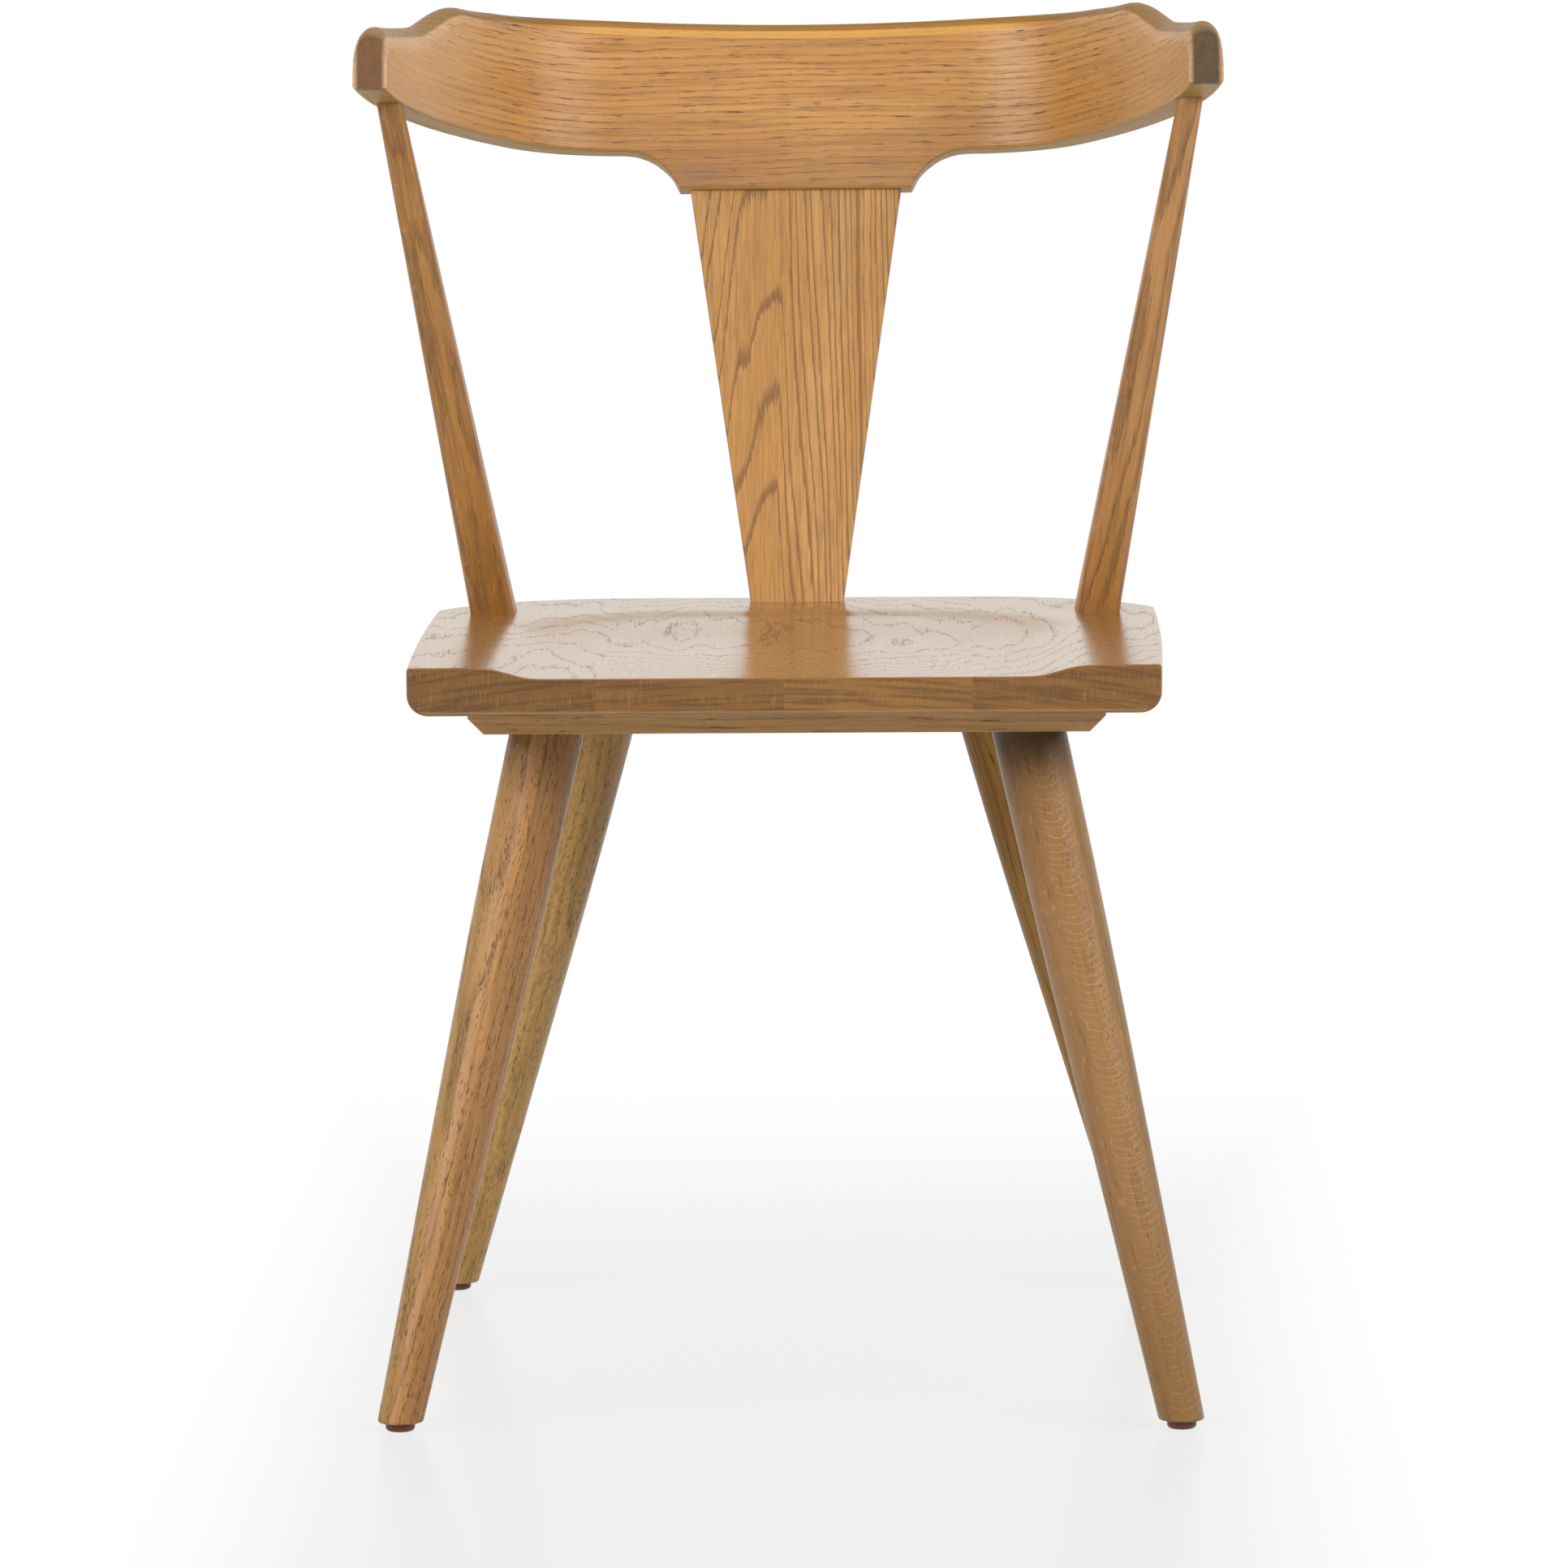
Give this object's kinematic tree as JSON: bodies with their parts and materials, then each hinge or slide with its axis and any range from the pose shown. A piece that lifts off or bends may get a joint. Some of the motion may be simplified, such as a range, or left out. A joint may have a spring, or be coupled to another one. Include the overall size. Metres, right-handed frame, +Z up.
{
  "type": "dining chair",
  "caption": "Solid oak dining chair with a dished plank seat, splayed round tapered legs and a bent crest rail carried by a tapered splat and side spindles.",
  "frame": {"origin": "on the floor, at the middle of the chair's footprint box", "axes": "+Z up, the front of the chair towards -Y, +X towards its right-hand side as seen from the front"},
  "size_m": [0.5276, 0.5103, 0.831],
  "materials": {
    "oak_seat": "satin lacquered oak, long grain front to back",
    "oak_cleat": "satin lacquered oak",
    "oak_leg": "satin lacquered turned oak",
    "oak_rail": "satin lacquered oak with open pores",
    "oak_splat": "satin lacquered oak",
    "oak_spindle": "satin lacquered oak",
    "glide_nylon": "brown nylon",
    "plated_steel": "zinc plated"
  },
  "bodies": {
    "root": {"seat_stave_1": "oak_seat", "seat_stave_2": "oak_seat", "seat_stave_3": "oak_seat", "seat_stave_4": "oak_seat", "front_cleat": "oak_cleat", "rear_cleat": "oak_cleat", "front_right_leg": "oak_leg", "front_left_leg": "oak_leg", "rear_right_leg": "oak_leg", "rear_left_leg": "oak_leg", "front_right_glide": "glide_nylon", "front_left_glide": "glide_nylon", "rear_right_glide": "glide_nylon", "rear_left_glide": "glide_nylon", "glide_nails": "plated_steel", "front_cleat_screws": "plated_steel", "rear_cleat_screws": "plated_steel", "crest_rail": "oak_rail", "back_splat": "oak_splat", "right_side_spindle": "oak_spindle", "left_side_spindle": "oak_spindle"}
  },
  "joints": []
}
